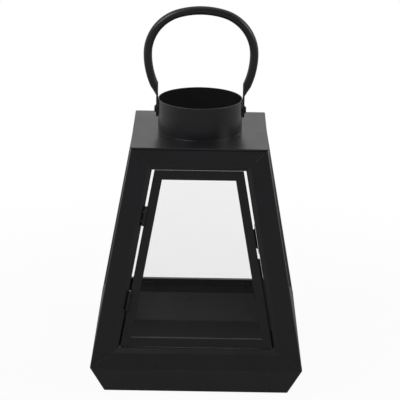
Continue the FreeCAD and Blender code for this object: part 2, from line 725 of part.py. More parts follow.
def add_cylinder(name, radius, low, high):
    """Upright cylinder between two heights."""
    cylinder = doc.addObject("Part::Cylinder", name)
    cylinder.setExpression("Radius", radius)
    cylinder.setExpression("Height", "(%s) - (%s)" % (high, low))
    cylinder.setExpression("Placement.Base.z", low)
    return cylinder


def fuse(label, pieces):
    """Join pieces into one shape."""
    joined = doc.addObject("Part::MultiFuse", label)
    joined.Label = label
    joined.Shapes = pieces
    return joined


def cut(label, base, tool):
    """Cut one shape out of another."""
    result = doc.addObject("Part::Cut", label)
    result.Label = label
    result.Base = base
    result.Tool = tool
    return result


def make_glass_clips(index):
    """Four bent clips from the rails' backs over a pane's edge, two above and two below."""
    label = "glass_clips_" + SIDES[index]
    back = "-(Worked.clip_foot + Sizes.clip_sheet)"
    pieces = []
    for spread, edge, outwards in (("Sizes.clip_spread_top", "-Worked.pane_top_drop", 1),
                                   ("Sizes.clip_spread_bottom", "-Worked.pane_bottom_drop", -1)):
        near = "%s + %d * Sizes.clip_gap" % (edge, outwards)
        far = "%s + %d * (Sizes.clip_gap + Sizes.clip_sheet)" % (edge, outwards)
        tip = "%s - %d * Sizes.clip_reach" % (edge, outwards)
        leg = (near, far) if outwards > 0 else (far, near)
        foot = (tip, far) if outwards > 0 else (far, tip)
        for side in (-1, 1):
            across = ("%d * %s - Sizes.clip_width / 2" % (side, spread),
                      "%d * %s + Sizes.clip_width / 2" % (side, spread))
            pieces.append(add_box(label + "_leg", across, leg, (back, "-Worked.sheet_seat")))
            pieces.append(add_box(label + "_foot", across, foot, (back, "-Worked.clip_foot")))
    keep(fuse(label, pieces), face_place(index))


# Door

DOOR_CORNERS = (
    (-1, "Worked.door_bottom_half", "Worked.door_bottom_drop", -1),
    (1, "Worked.door_bottom_half", "Worked.door_bottom_drop", -1),
    (1, "Worked.door_top_half", "Worked.door_top_drop", 1),
    (-1, "Worked.door_top_half", "Worked.door_top_drop", 1),
)
DOOR_MEMBERS = ("door_bottom_rail", "door_stile_right", "door_top_rail", "door_stile_left")


def door_corner(number, inset):
    """Corner of the door's outline, moved in by an inset along both edges."""
    side, half, drop, down = DOOR_CORNERS[number]
    moved = "%d * (%s + %d * (%s) * Worked.door_run - (%s))" % (side, half, down, inset, inset)
    return moved, "-(%s + %d * (%s))" % (drop, down, inset)


def make_door_member(number):
    """Folded channel, mitred at both ends, open towards the pane."""
    body = add_body(DOOR_MEMBERS[number])
    following = (number + 1) % len(DOOR_CORNERS)
    outline = add_sketch(body, "XY_Plane", "-(Sizes.door_recess + Sizes.door_depth)")
    inside = [door_corner(following, "Sizes.door_face"), door_corner(number, "Sizes.door_face")]
    corners = draw_polygon(outline, [door_corner(number, "0"), door_corner(following, "0")] + inside)
    add_pad(body, outline, "Sizes.door_depth")
    folds = [corners[0], corners[0] + FreeCAD.Vector(0, 0, SIZES["door_depth"])]
    round_edges(body, "Sizes.door_edge", on_lines(folds, corners[1] - corners[0]))
    doc.recompute()
    before = body.Shape.Volume
    slot = add_sketch(body, "XY_Plane", "-Worked.door_middle")
    draw_polygon(slot, [door_corner(place, "Sizes.door_sheet") for place in (number, following)] + inside)
    groove = body.newObject("PartDesign::Pocket", body.Name + "_slot")
    groove.Profile = slot
    groove.SideType = "Symmetric"
    groove.setExpression("Length", "Worked.door_slot")
    doc.recompute()
    if body.Shape.Volume >= before:
        raise RuntimeError(groove.Label + " cuts nothing")
    keep(body, face_place(0))


def make_door_glass():
    """Pane that sits in the door's channels."""
    body = add_body("door_glass")
    outline = add_sketch(body, "XY_Plane", "-(Worked.door_middle + Sizes.glass_thickness / 2)")
    edge = "Sizes.door_sheet + Sizes.door_glass_gap"
    draw_polygon(outline, [door_corner(number, edge) for number in range(len(DOOR_CORNERS))])
    add_pad(body, outline, "Sizes.glass_thickness")
    keep(body, face_place(0))


# Hinges, in a frame with z up the pin, x towards the door and y inwards

def hinge_place(which):
    """Frame of a hinge on its pin's axis, half way up the hinge."""
    place = jamb_place(SIZES["hinge_%s_drop" % which], -1)
    return place * shift(SIZES["hinge_axis_gap"], SIZES["hinge_axis_depth"], 0)


def make_jamb_leaf(which):
    """Leaf on the return wall, with the middle knuckle."""
    label = "hinge_jamb_leaf_" + which
    wall = ("Sizes.fit_gap - Sizes.hinge_axis_gap", "Sizes.fit_gap - Sizes.hinge_axis_gap + Sizes.hinge_leaf")
    knuckle = ("Sizes.knuckle_gap - Sizes.hinge_middle / 2", "Sizes.hinge_middle / 2 - Sizes.knuckle_gap")
    plate = add_box(label + "_plate", wall, ("Worked.leaf_start", "Worked.jamb_leaf_end"),
                    ("-Sizes.hinge_length / 2", "Sizes.hinge_length / 2"))
    neck = add_box(label + "_neck", wall, ("0", "Worked.leaf_start"), knuckle)
    barrel = add_cylinder(label + "_barrel", "Sizes.barrel_radius", *knuckle)
    bore = add_cylinder(label + "_bore", "Sizes.pin_radius + Sizes.fit_gap", *knuckle)
    keep(cut(label, fuse(label + "_solid", [plate, neck, barrel]), bore), hinge_place(which))


def make_door_leaf(which):
    """Leaf on the door's edge, with the end knuckles."""
    label = "hinge_door_leaf_" + which
    reach = "Worked.reach_" + which
    edge = ("%s - Sizes.hinge_leaf" % reach, reach)
    half_arm = "Sizes.arm_thickness / 2"
    pieces = [add_box(label + "_plate", edge, ("Worked.door_leaf_start", "Worked.door_leaf_end"),
                      ("-Sizes.hinge_length / 2", "Sizes.hinge_length / 2"))]
    low = "-Sizes.hinge_length / 2"
    for start, stop in ((low, "%s + Worked.hinge_end - Sizes.knuckle_gap" % low),
                        ("-(%s) - Worked.hinge_end + Sizes.knuckle_gap" % low, "-(%s)" % low)):
        pieces.append(add_cylinder(label + "_barrel", "Sizes.barrel_radius", start, stop))
        pieces.append(add_box(label + "_arm", ("0", reach), ("-" + half_arm, half_arm), (start, stop)))
        fold = ("-" + half_arm, "Worked.door_leaf_start")
        pieces.append(add_box(label + "_fold", edge, fold, (start, stop)))
    bore = add_cylinder(label + "_bore", "Sizes.pin_radius + Sizes.pivot_gap", low, "-(%s)" % low)
    keep(cut(label, fuse(label + "_solid", pieces), bore), hinge_place(which))


def make_hinge_pin(which):
    """Plain pin, fast in the middle knuckle."""
    label = "hinge_pin_" + which
    pin = add_cylinder(label, "Sizes.pin_radius", "-Sizes.hinge_length / 2", "Sizes.hinge_length / 2")
    pin.Label = label
    doc.recompute()
    pin.setExpression("Placement.Base.z", None)
    keep(pin, hinge_place(which) * shift(0, 0, -SIZES["hinge_length"] / 2))


# Spring catch and stop, in a frame with z up the right-hand jamb, x towards the door and y outwards

def make_catch_spring():
    """Bent strip on the return wall that presses towards the door's edge, with an ear behind the door."""
    body = add_body("catch_spring")
    strip = add_sketch(body, "XZ_Plane", "Worked.catch_front")
    low = "Sizes.fit_gap"
    flat = "Sizes.catch_flat / 2"
    ramp = "Sizes.catch_flat / 2 + Sizes.catch_ramp"
    tail = "Worked.catch_half"
    high = "Sizes.fit_gap + Sizes.catch_sheet"
    crest = [("Worked.catch_reach", flat), (high, ramp), (high, tail)]
    under = [("Worked.catch_reach - Sizes.catch_sheet", flat + " - Sizes.catch_sheet / 2"),
             (low, ramp + " - Sizes.catch_sheet / 2"), (low, tail)]
    upper = crest + list(reversed(under))
    lower = [(x, "-(%s)" % z) for x, z in reversed(upper)]
    draw_polygon(strip, upper + lower)
    add_pad(body, strip, "Sizes.catch_width")
    ear = add_sketch(body, "XZ_Plane", "Worked.catch_front + Sizes.catch_width - Sizes.catch_sheet")
    half_ear = [("Worked.stop_reach", flat), (high, ramp), (low, ramp)]
    draw_polygon(ear, half_ear + [(x, "-(%s)" % z) for x, z in reversed(half_ear)])
    add_pad(body, ear, "Sizes.catch_sheet")
    keep(body, jamb_place(SIZES["catch_drop"], 1))


def make_door_stop():
    """Folded strip on the return wall that the shut door rests on."""
    length = ("-Worked.stop_length / 2", "Worked.stop_length / 2")
    back = "-(Worked.stop_seat + Sizes.stop_sheet)"
    wall = ("Sizes.fit_gap", "Sizes.fit_gap + Sizes.stop_sheet")
    plate = add_box("door_stop_plate", wall, (back, "-Worked.catch_front"), length)
    across = ("Sizes.fit_gap", "Worked.stop_reach")
    tab = add_box("door_stop_tab", across, (back, "-Worked.stop_seat"), length)
    keep(fuse("door_stop", [plate, tab]), jamb_place(worked("stop_drop"), 1))


make_base_tray()
for number in range(len(SIDES)):
    make_corner_post(number)
    make_bottom_rail(number)
    make_top_rail(number)
make_top_plate()
make_collar()
make_handle()
for hand, hand_label in ((-1, "left"), (1, "right")):
    make_handle_rivet(hand, hand_label)
    make_handle_washer(hand, hand_label)
for number in range(1, len(SIDES)):
    make_glass(number)
    make_glass_clips(number)
for number in range(len(DOOR_MEMBERS)):
    make_door_member(number)
make_door_glass()
for level in ("upper", "lower"):
    make_jamb_leaf(level)
    make_door_leaf(level)
    make_hinge_pin(level)
make_catch_spring()
make_door_stop()

# Check everything, then write each sub-part
doc.recompute()
failed = [item.Label for item in doc.Objects if "Invalid" in item.State or "Error" in item.State]
failed += [item.Label for item in sub_parts if item.Shape.isNull() or not item.Shape.isValid()]
failed += [item.Label for item in sub_parts if not item.Shape.Solids]
if failed:
    raise RuntimeError("failed objects: " + ", ".join(failed))
os.makedirs("parts", exist_ok=True)
for item in sub_parts:
    item.Shape.exportStep(os.path.join("parts", item.Label + ".step"))
    print("%-28s solids %d volume %9.1f" % (item.Label, len(item.Shape.Solids), item.Shape.Volume))
print("sub-parts", len(sub_parts))
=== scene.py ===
"""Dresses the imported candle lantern: black coated steel, glass panes, weld beads, and a white studio."""

import math

import bmesh
import bpy
from mathutils import Matrix, Vector, noise


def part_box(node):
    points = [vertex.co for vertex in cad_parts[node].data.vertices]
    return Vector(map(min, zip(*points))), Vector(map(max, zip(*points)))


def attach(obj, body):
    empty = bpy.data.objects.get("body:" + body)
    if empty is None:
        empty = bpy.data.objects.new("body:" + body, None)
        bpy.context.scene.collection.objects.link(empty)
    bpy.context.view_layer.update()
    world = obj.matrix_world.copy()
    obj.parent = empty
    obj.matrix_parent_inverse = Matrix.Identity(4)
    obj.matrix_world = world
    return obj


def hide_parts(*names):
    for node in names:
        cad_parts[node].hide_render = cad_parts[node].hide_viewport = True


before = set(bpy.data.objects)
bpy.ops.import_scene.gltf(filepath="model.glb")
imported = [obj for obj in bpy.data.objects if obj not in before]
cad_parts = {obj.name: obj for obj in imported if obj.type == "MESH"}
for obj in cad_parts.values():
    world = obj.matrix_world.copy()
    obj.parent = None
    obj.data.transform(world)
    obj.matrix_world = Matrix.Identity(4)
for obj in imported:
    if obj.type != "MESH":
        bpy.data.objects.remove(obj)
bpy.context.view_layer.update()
MM = 0.001

bl_info = {
    "name": "Candle lantern",
    "version": (1, 0, 0),
    "blender": (4, 5, 0),
    "location": "3D View > Sidebar > Lantern",
    "description": "Finishes of a black steel candle lantern with a hinged glass door and a chimney collar",
    "category": "Object",
}

# Which pieces take which finish

PANE_BODIES = {
    "glass_right": "lantern",
    "glass_back": "lantern",
    "glass_left": "lantern",
    "door_glass": "door",
}
SPRING_NODES = ("catch_spring", "glass_clips_right", "glass_clips_back", "glass_clips_left")
BAR_NODES = (
    "handle",
    "handle_rivet_left",
    "handle_rivet_right",
    "handle_washer_left",
    "handle_washer_right",
    "hinge_pin_upper",
    "hinge_pin_lower",
)
TRAY_NODES = ("base_tray",)
SHEET_NODES = tuple(sorted(set(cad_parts) - {*PANE_BODIES, *SPRING_NODES, *BAR_NODES, *TRAY_NODES}))

# Limits for reading a CAD mesh. SAME_WAY is the least cosine between faces that look the same way

MERGE_DISTANCE = 0.01 * MM
FLAT_ANGLE = math.radians(1.0)
SAME_WAY = 0.99
LEVEL_TOLERANCE = 0.5 * MM

# Form of the weld beads. The ripple and the tacks are shares of a bead's girth

RAILS = ("top_rail", "bottom_rail")
RAIL_SIDES = ("front", "right", "back", "left")
BEAD_SIDES = 8
BEAD_RIPPLE = 0.35
SEAM_TRIM = 2.2 * MM
FOOT_STEPS = 160
TACK_LEAST = 0.15
TACK_MEAN = 0.45

# Widths and depths of the patterns in the finishes. STREAK_SQUEEZE draws the streaks out along the rolling

CLOUD_WIDTH = 38 * MM
SPECK_WIDTH = 1.6 * MM
STREAK_WIDTH = 0.9 * MM
STREAK_DEPTH = 0.004 * MM
STREAK_SQUEEZE = 0.12
WIPE_WIDTH = 24 * MM
GRIT_WIDTH = 0.8 * MM
GRIT_DEPTH = 0.02 * MM
FIBRE_WIDTH = 3 * MM
SHEET_WAVE = 0.12 * MM
BAR_WAVE = 0.02 * MM
DIMPLE_DEPTH = 0.012 * MM

# Numbers of a Mix node's colour sockets, which share their names with its sockets for other data

COLOUR_A = 6
COLOUR_B = 7
COLOUR_OUT = 2

# Roughness of the coat at its smoothest and its roughest, and its sheen plain and where shade is painted on
# the tray's floor

SHEET_ROUGHNESS = (0.27, 0.34)
BAR_ROUGHNESS = (0.26, 0.34)
UNSHADED_SHEEN = 0.5
PAINTED_SHADE_SHEEN = 0.15

# Fixed values of the studio in metres. The glow starts and ends at shares of the floor's radius

LIGHT_AIM = (0, 0, 0.18)
KEY_PLACE = (-1.2, -1.0, 1.6)
KEY_SIZE = 1.0
FILL_PLACE = (1.4, -0.5, 1.0)
FILL_SIZE = 0.8
FLOOR_SIDES = 64
GLOW_START = 0.3
GLOW_END = 0.95

# Fixed values of the camera, with its sensor in millimetres and its depth of view in metres

SENSOR_WIDTH = 36
VIEW_DEPTH = 50


# Small helpers


def linear(hex_colour):
    """Turns an sRGB hex colour such as "#232323" into linear red, green, blue and alpha."""
    parts = [int(hex_colour[i : i + 2], 16) / 255 for i in (1, 3, 5)]
    turned = [p / 12.92 if p <= 0.04045 else ((p + 0.055) / 1.055) ** 2.4 for p in parts]
    return (*turned, 1.0)


def add_node(tree, kind, sockets=None, **settings):
    """Adds a node with its settings. Each named or numbered socket takes a value or a link."""
    node = tree.nodes.new(kind)
    for name, value in settings.items():
        setattr(node, name, value)
    for name, value in (sockets or {}).items():
        if isinstance(value, bpy.types.NodeSocket):
            tree.links.new(value, node.inputs[name])
        else:
            node.inputs[name].default_value = value
    return node


def new_material(name):
    """An empty node material, with the Object coordinates that its patterns read."""
    material = bpy.data.materials.new(name)
    material.use_nodes = True
    tree = material.node_tree
    tree.nodes.clear()
    place = add_node(tree, "ShaderNodeTexCoord").outputs["Object"]
    return material, tree, place


def assign(piece, *materials):
    """Gives a piece these materials in its slots."""
    piece.data.materials.clear()
    for material in materials:
        piece.data.materials.append(material)


def add_mesh(name, shape, *materials):
    """Turns a bmesh into an object at the origin with these materials."""
    mesh = bpy.data.meshes.new(name)
    shape.to_mesh(mesh)
    shape.free()
    piece = bpy.data.objects.new(name, mesh)
    bpy.context.scene.collection.objects.link(piece)
    assign(piece, *materials)
    return piece


def add_piece(name, shape, body, slot, *materials):
    """Turns a bmesh into a piece of the lantern that rides on a body."""
    piece = add_mesh(name, shape, *materials)
    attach(piece, body)
    return piece


def merged_copy(node):
    """A bmesh of a CAD node with its loose triangles joined into flat faces."""
    shape = bmesh.new()
    shape.from_mesh(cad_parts[node].data)
    bmesh.ops.remove_doubles(shape, verts=shape.verts, dist=MERGE_DISTANCE)
    bmesh.ops.dissolve_limit(shape, angle_limit=FLAT_ANGLE, verts=shape.verts, edges=shape.edges)
    bmesh.ops.recalc_face_normals(shape, faces=shape.faces)
    return shape


def broadest_face(shape):
    """The face of a bmesh with the largest area."""
    return max(shape.faces, key=lambda face: face.calc_area())


# Values that a user may change


class LanternPaint(bpy.types.PropertyGroup):
    """Looks of the black coat on the steel."""

    coat: bpy.props.FloatVectorProperty(
        name="Coat",
        description="Colour of the black coat",
        subtype="COLOR",
        size=4,
        default=linear("#171719"),
    )
    coat_pale: bpy.props.FloatVectorProperty(
        name="Pale coat",
        description="Colour of the coat where it lies thinner",
        subtype="COLOR",
        size=4,
        default=linear("#1c1c1f"),
    )
    dust: bpy.props.FloatVectorProperty(
        name="Dust",
        description="Colour of the fine dust specks",
        subtype="COLOR",
        size=4,
        default=linear("#4a4948"),
    )
    # Painted shade: a darker colour laid on the tray's floor, where the real floor lies in shade
    painted_shade: bpy.props.FloatVectorProperty(
        name="Soot",
        description="Colour of the soot on the tray's floor",
        subtype="COLOR",
        size=4,
        default=linear("#0d0d0e"),
    )
    oxide: bpy.props.FloatVectorProperty(
        name="Oxide",
        description="Colour of the paler streaks in the blackened springs",
        subtype="COLOR",
        size=4,
        default=linear("#2b2a2a"),
    )
    peel_size: bpy.props.FloatProperty(
        name="Peel size",
        description="Width of the coat's fine dimples",
        unit="LENGTH",
        default=2.4 * MM,
    )
    wave_size: bpy.props.FloatProperty(
        name="Wave size",
        description="Width of the slow waves in thin sheet",
        unit="LENGTH",
        default=55 * MM,
    )


class LanternGlass(bpy.types.PropertyGroup):
    """Looks of the panes."""

    tint: bpy.props.FloatVectorProperty(
        name="Tint",
        description="Colour of the clear glass",
        subtype="COLOR",
        size=4,
        default=linear("#ffffff"),
    )
    film: bpy.props.FloatVectorProperty(
        name="Film",
        description="Colour through the wiped film",
        subtype="COLOR",
        size=4,
        default=linear("#fdfdfd"),
    )
    edge: bpy.props.FloatVectorProperty(
        name="Edge",
        description="Colour of the ground edges",
        subtype="COLOR",
        size=4,
        default=linear("#7f9d92"),
    )
    edge_pale: bpy.props.FloatVectorProperty(
        name="Pale edge",
        description="Colour of the ground edges where the grit cut deeper",
        subtype="COLOR",
        size=4,
        default=linear("#a8c2b8"),
    )
    arris: bpy.props.FloatProperty(
        name="Arris",
        description="Width of the ground corner along a pane's edge",
        unit="LENGTH",
        default=0.3 * MM,
    )


class LanternWeld(bpy.types.PropertyGroup):
    """Sizes of the weld beads under the coat."""

    seam_radius: bpy.props.FloatProperty(
        name="Seam radius",
        description="Half width of the ground-down mitre welds",
        unit="LENGTH",
        default=0.2 * MM,
    )
    foot_radius: bpy.props.FloatProperty(
        name="Foot radius",
        description="Half width of the bead round the collar's foot",
        unit="LENGTH",
        default=0.8 * MM,
    )
    pitch: bpy.props.FloatProperty(
        name="Ripple pitch",
        description="Length of one ripple along a bead",
        unit="LENGTH",
        default=2.2 * MM,
    )
    tack_spacing: bpy.props.FloatProperty(
        name="Tack spacing",
        description="Spacing of the tacks round the collar's foot",
        unit="LENGTH",
        default=11 * MM,
    )


class LanternStage(bpy.types.PropertyGroup):
    """Camera and light of the studio."""

    camera_place: bpy.props.FloatVectorProperty(
        name="Camera place",
        description="Where the camera stands",
        subtype="TRANSLATION",
        unit="LENGTH",
        default=(4.3 * MM, -1760.6 * MM, 767.2 * MM),
    )
    camera_pitch: bpy.props.FloatProperty(
        name="Pitch",
        description="How far the camera looks down",
        subtype="ANGLE",
        default=math.radians(18.54),
    )
    camera_yaw: bpy.props.FloatProperty(
        name="Yaw",
        description="How far the camera looks right",
        subtype="ANGLE",
        default=math.radians(-0.10),
    )
    camera_roll: bpy.props.FloatProperty(
        name="Roll",
        description="How far the camera leans",
        subtype="ANGLE",
        default=math.radians(0.88),
    )
    lens: bpy.props.FloatProperty(
        name="Lens",
        description="Focal length on a 36 mm wide sensor, in millimetres",
        default=159.25,
    )
    floor: bpy.props.FloatVectorProperty(
        name="Floor",
        description="Colour of the floor",
        subtype="COLOR",
        size=4,
        default=linear("#d2d2d2"),
    )
    floor_pale: bpy.props.FloatVectorProperty(
        name="Pale floor",
        description="Colour of the paler fibres in the floor",
        subtype="COLOR",
        size=4,
        default=linear("#d8d8d8"),
    )
    floor_glow: bpy.props.FloatProperty(
        name="Floor glow",
        description="Share of plain white in the floor as the camera sees it",
        default=0.94,
    )
    floor_shine: bpy.props.FloatProperty(
        name="Floor shine",
        description="How bright the near floor looks in the shine",
        default=0.2,
    )
    floor_radius: bpy.props.FloatProperty(
        name="Floor radius",
        description="Radius of the round paper floor",
        unit="LENGTH",
        default=0.7,
    )
    ambient: bpy.props.FloatProperty(
        name="Ambient",
        description="Strength of the light from all round",
        default=0.75,
    )
    front_level: bpy.props.FloatProperty(
        name="Front level",
        description="How bright the room in front of the lantern looks in its shine",
        default=0.07,
    )
    far_level: bpy.props.FloatProperty(
        name="Far level",
        description="How bright the far floor in front looks in the shine",
        default=0.42,
    )
    back_level: bpy.props.FloatProperty(
        name="Back level",
        description="How bright the room behind the lantern looks in its shine",
        default=0.75,
    )
    low_level: bpy.props.FloatProperty(
        name="Low level",
        description="How bright the room below the horizon looks in the shine",
        default=0.5,
    )
    right_level: bpy.props.FloatProperty(
        name="Right level",
        description="How bright the right side of the room looks in the shine",
        default=0.8,
    )
    key_power: bpy.props.FloatProperty(
        name="Key light",
        description="Power of the large light at the upper left",
        unit="POWER",
        default=16.0,
    )
    fill_power: bpy.props.FloatProperty(
        name="Fill light",
        description="Power of the light at the right",
        unit="POWER",
        default=7.0,
    )


# Finishes


def build_coat(tree, place, paint, wave_height, roughness_range, painted_shade=0.0):
    """Coat colour, sheen and relief, with shade painted in by the given share. The dimples are drawn coarse
    enough to show in the render.
    """
    clouds = add_node(
        tree,
        "ShaderNodeTexNoise",
        {"Vector": place, "Scale": 1 / CLOUD_WIDTH, "Detail": 3.0, "Roughness": 0.6},
    ).outputs["Fac"]
    specks = add_node(
        tree, "ShaderNodeTexNoise", {"Vector": place, "Scale": 1 / SPECK_WIDTH, "Detail": 1.0}
    ).outputs["Fac"]
    speck_share = add_node(
        tree,
        "ShaderNodeMapRange",
        {"Value": specks, "From Min": 0.70, "From Max": 0.80, "To Min": 0.0, "To Max": 0.35},
    ).outputs["Result"]
    coat = add_node(
        tree,
        "ShaderNodeMix",
        {"Factor": clouds, COLOUR_A: paint.coat, COLOUR_B: paint.coat_pale},
        data_type="RGBA",
    ).outputs[COLOUR_OUT]
    dusty = add_node(
        tree,
        "ShaderNodeMix",
        {"Factor": speck_share, COLOUR_A: coat, COLOUR_B: paint.dust},
        data_type="RGBA",
    ).outputs[COLOUR_OUT]
    # Painted shade: where the share rises, the coat takes a darker colour and a duller sheen
    coat_with_painted_shade = add_node(
        tree,
        "ShaderNodeMix",
        {"Factor": painted_shade, COLOUR_A: dusty, COLOUR_B: paint.painted_shade},
        data_type="RGBA",
    ).outputs[COLOUR_OUT]
    sheen = add_node(
        tree, "ShaderNodeMapRange", {"Value": painted_shade, "To Min": UNSHADED_SHEEN, "To Max": PAINTED_SHADE_SHEEN}
    ).outputs["Result"]
    smoothest, roughest = roughness_range
    roughness = add_node(
        tree,
        "ShaderNodeMapRange",
        {"Value": clouds, "From Min": 0.3, "From Max": 0.7, "To Min": smoothest, "To Max": roughest},
    ).outputs["Result"]
    waves = add_node(
        tree, "ShaderNodeTexNoise", {"Vector": place, "Scale": 1 / paint.wave_size, "Detail": 1.0}
    ).outputs["Fac"]
    peel = add_node(
        tree, "ShaderNodeTexNoise", {"Vector": place, "Scale": 1 / paint.peel_size, "Detail": 2.0}
    ).outputs["Fac"]
    wavy = add_node(
        tree, "ShaderNodeBump", {"Strength": 1.0, "Distance": wave_height, "Height": waves}
    ).outputs["Normal"]
    dimpled = add_node(
        tree,
        "ShaderNodeBump",
        {"Strength": 1.0, "Distance": DIMPLE_DEPTH, "Height": peel, "Normal": wavy},
    ).outputs["Normal"]
    shader = add_node(
        tree,
        "ShaderNodeBsdfPrincipled",
        {
            "Base Color": coat_with_painted_shade,
            "Roughness": roughness,
            "IOR": 1.5,
            "Specular IOR Level": sheen,
            "Normal": dimpled,
        },
    )
    add_node(tree, "ShaderNodeOutputMaterial", {"Surface": shader.outputs["BSDF"]})


def powder_coated_sheet(paint):
    """Satin black powder coat on thin folded sheet: soft sheen, faint dimples, slow waves, a little dust."""
    material, tree, place = new_material("powder_coated_steel_sheet_satin")
    build_coat(tree, place, paint, SHEET_WAVE, SHEET_ROUGHNESS)
    return material


def powder_coated_tray(paint):
    """The sheet's coat on the tray, painted dull and dark as shade on the faces that look up, which form its
    floor.
    """
    material, tree, place = new_material("powder_coated_steel_tray_painted_shade")
    normal = add_node(tree, "ShaderNodeNewGeometry").outputs["True Normal"]
    upward = add_node(tree, "ShaderNodeSeparateXYZ", {"Vector": normal}).outputs["Z"]
    # Painted shade: the share rises on faces that look up, which form the tray's floor
    painted_shade = add_node(
        tree, "ShaderNodeMapRange", {"Value": upward, "From Min": 0.9, "From Max": 0.98}
    ).outputs["Result"]
    build_coat(tree, place, paint, SHEET_WAVE, SHEET_ROUGHNESS, painted_shade)
    return material


def powder_coated_bar(paint):
    """The same coat on solid bar and rivets: next to no waves, and a little smoother."""
    material, tree, place = new_material("powder_coated_steel_bar_satin")
    build_coat(tree, place, paint, BAR_WAVE, BAR_ROUGHNESS)
    return material


def blackened_spring_steel(paint):
    """Black-oxide spring steel: thin, with a sharper shine than the coat, and streaked along its rolling."""
    material, tree, place = new_material("blackened_spring_steel_rolled")
    stretched = add_node(
        tree, "ShaderNodeMapping", {"Vector": place, "Scale": (1.0, 1.0, STREAK_SQUEEZE)}
    ).outputs["Vector"]
    streaks = add_node(
        tree, "ShaderNodeTexNoise", {"Vector": stretched, "Scale": 1 / STREAK_WIDTH, "Detail": 2.0}
    ).outputs["Fac"]
    colour = add_node(
        tree,
        "ShaderNodeMix",
        {"Factor": streaks, COLOUR_A: paint.coat, COLOUR_B: paint.oxide},
        data_type="RGBA",
    ).outputs[COLOUR_OUT]
    roughness = add_node(
        tree, "ShaderNodeMapRange", {"Value": streaks, "To Min": 0.24, "To Max": 0.40}
    ).outputs["Result"]
    relief = add_node(
        tree, "ShaderNodeBump", {"Strength": 1.0, "Distance": STREAK_DEPTH, "Height": streaks}
    ).outputs["Normal"]
    shader = add_node(
        tree,
        "ShaderNodeBsdfPrincipled",
        {"Base Color": colour, "Metallic": 0.6, "Roughness": roughness, "Normal": relief},
    )
    add_node(tree, "ShaderNodeOutputMaterial", {"Surface": shader.outputs["BSDF"]})
    return material


def clear_float_glass(glass):
    """Clear float glass: a sharp mirror, and a thin uneven film of wiped dust that takes a little light."""
    material, tree, place = new_material("clear_float_glass_wiped")
    film = add_node(
        tree,
        "ShaderNodeTexNoise",
        {"Vector": place, "Scale": 1 / WIPE_WIDTH, "Detail": 4.0, "Roughness": 0.6},
    ).outputs["Fac"]
    colour = add_node(
        tree,
        "ShaderNodeMix",
        {"Factor": film, COLOUR_A: glass.tint, COLOUR_B: glass.film},
        data_type="RGBA",
    ).outputs[COLOUR_OUT]
    pane = add_node(
        tree,
        "ShaderNodeBsdfPrincipled",
        {"Base Color": colour, "Roughness": 0.0, "IOR": 1.45, "Transmission Weight": 1.0},
    ).outputs["BSDF"]
    lets_light = add_node(tree, "ShaderNodeBsdfTransparent", {"Color": glass.tint}).outputs["BSDF"]
    is_shadow = add_node(tree, "ShaderNodeLightPath").outputs["Is Shadow Ray"]
    mixed = add_node(tree, "ShaderNodeMixShader", {0: is_shadow, 1: pane, 2: lets_light}).outputs["Shader"]
    add_node(tree, "ShaderNodeOutputMaterial", {"Surface": mixed})
    return material


def ground_glass_edge(glass):
    """Ground edge of a pane: cloudy sea green, because light runs a long way inside the sheet."""
    material, tree, place = new_material("ground_glass_edge_cloudy")
    grit = add_node(
        tree, "ShaderNodeTexNoise", {"Vector": place, "Scale": 1 / GRIT_WIDTH, "Detail": 3.0}
    ).outputs["Fac"]
    colour = add_node(
        tree,
        "ShaderNodeMix",
        {"Factor": grit, COLOUR_A: glass.edge, COLOUR_B: glass.edge_pale},
        data_type="RGBA",
    ).outputs[COLOUR_OUT]
    relief = add_node(
        tree, "ShaderNodeBump", {"Strength": 1.0, "Distance": GRIT_DEPTH, "Height": grit}
    ).outputs["Normal"]
    shader = add_node(
        tree,
        "ShaderNodeBsdfPrincipled",
        {"Base Color": colour, "Roughness": 0.45, "IOR": 1.5, "Transmission Weight": 0.4, "Normal": relief},
    )
    add_node(tree, "ShaderNodeOutputMaterial", {"Surface": shader.outputs["BSDF"]})
    return material


# Pieces


class LANTERN_OT_coat_steel(bpy.types.Operator):
    """Coats the sheet, the tray, the bar and the springs"""

    bl_idname = "lantern.coat_steel"
    bl_label = "Coat the steel"

    def execute(self, context):
        paint = context.scene.lantern_paint
        finishes = (
            (SHEET_NODES, powder_coated_sheet(paint)),
            (TRAY_NODES, powder_coated_tray(paint)),
            (BAR_NODES, powder_coated_bar(paint)),
            (SPRING_NODES, blackened_spring_steel(paint)),
        )
        for nodes, material in finishes:
            for node in nodes:
                assign(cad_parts[node], material)
        return {"FINISHED"}


class LANTERN_OT_cut_panes(bpy.types.Operator):
    """Cuts the four panes, with clear faces and ground green edges"""

    bl_idname = "lantern.cut_panes"
    bl_label = "Cut the panes"

    def execute(self, context):
        glass = context.scene.lantern_glass
        clear = clear_float_glass(glass)
        ground = ground_glass_edge(glass)
        for node, body in PANE_BODIES.items():
            shape = merged_copy(node)
            across = broadest_face(shape).normal.copy()
            bmesh.ops.bevel(
                shape,
                geom=shape.edges[:],
                offset=glass.arris,
                offset_type="OFFSET",
                affect="EDGES",
                segments=1,
                profile=0.5,
                material=-1,
            )
            bmesh.ops.recalc_face_normals(shape, faces=shape.faces)
            for face in shape.faces:
                face.material_index = 0 if abs(face.normal.dot(across)) > SAME_WAY else 1
            piece = add_piece(f"pane_{node}", shape, body, "clear_glass", clear, ground)
            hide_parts(node)
        return {"FINISHED"}


